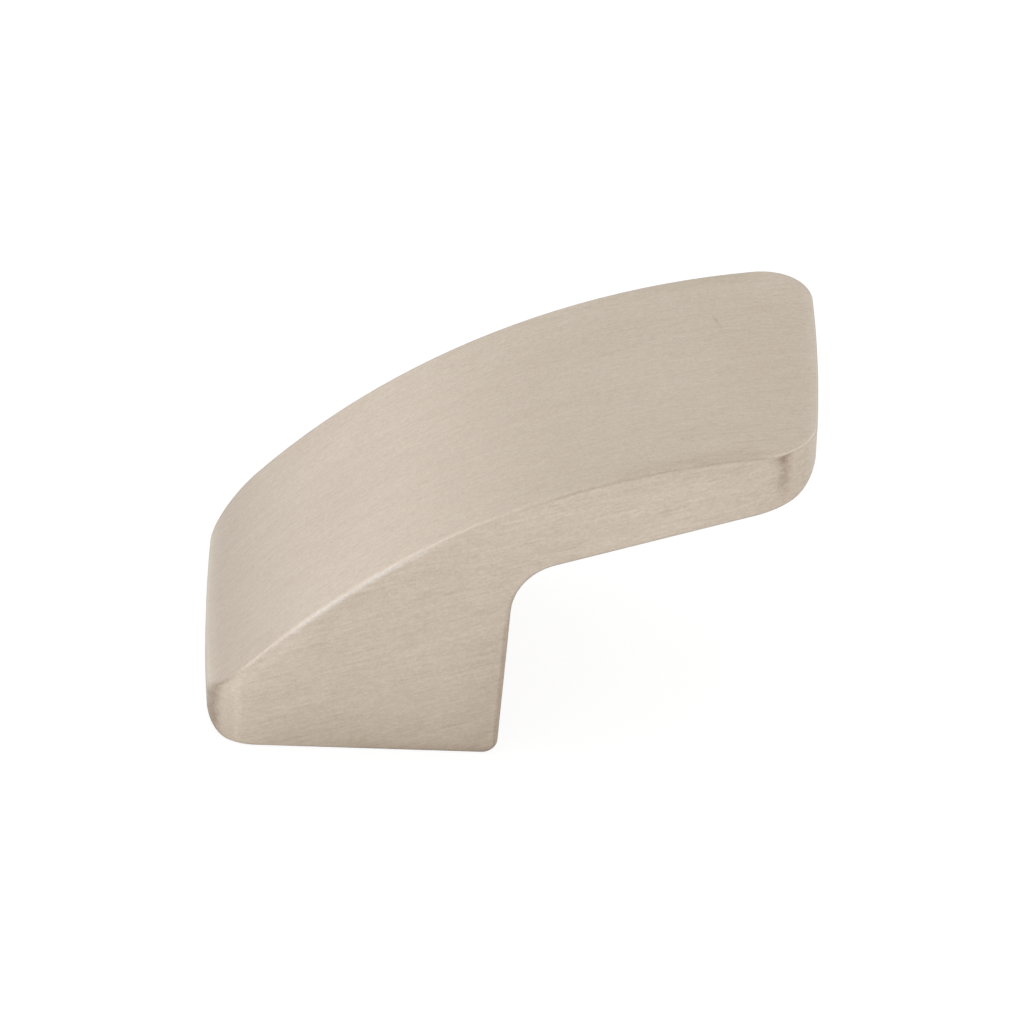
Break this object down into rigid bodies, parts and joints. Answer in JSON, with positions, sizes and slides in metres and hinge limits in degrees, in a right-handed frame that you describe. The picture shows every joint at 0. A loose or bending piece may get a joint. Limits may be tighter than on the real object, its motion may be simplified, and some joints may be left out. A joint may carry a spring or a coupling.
{
  "type": "cabinet knob",
  "caption": "One-piece cast cabinet knob: a squared wedge that curves up from a low end to a thumb rest over a finger recess, with a tapped hole in its base.",
  "frame": {"origin": "the mouth of the tapped hole, in the middle of the flat base that bears on the door", "axes": "+Z straight out from the door, +X along the knob from its low end to its tip, +Y across its width"},
  "size_m": [0.038, 0.0218, 0.0235],
  "materials": {
    "brushed_nickel": "satin nickel plate on a zinc casting, brushed along the length"
  },
  "bodies": {
    "root": {"knob_body": "brushed_nickel"}
  },
  "joints": []
}
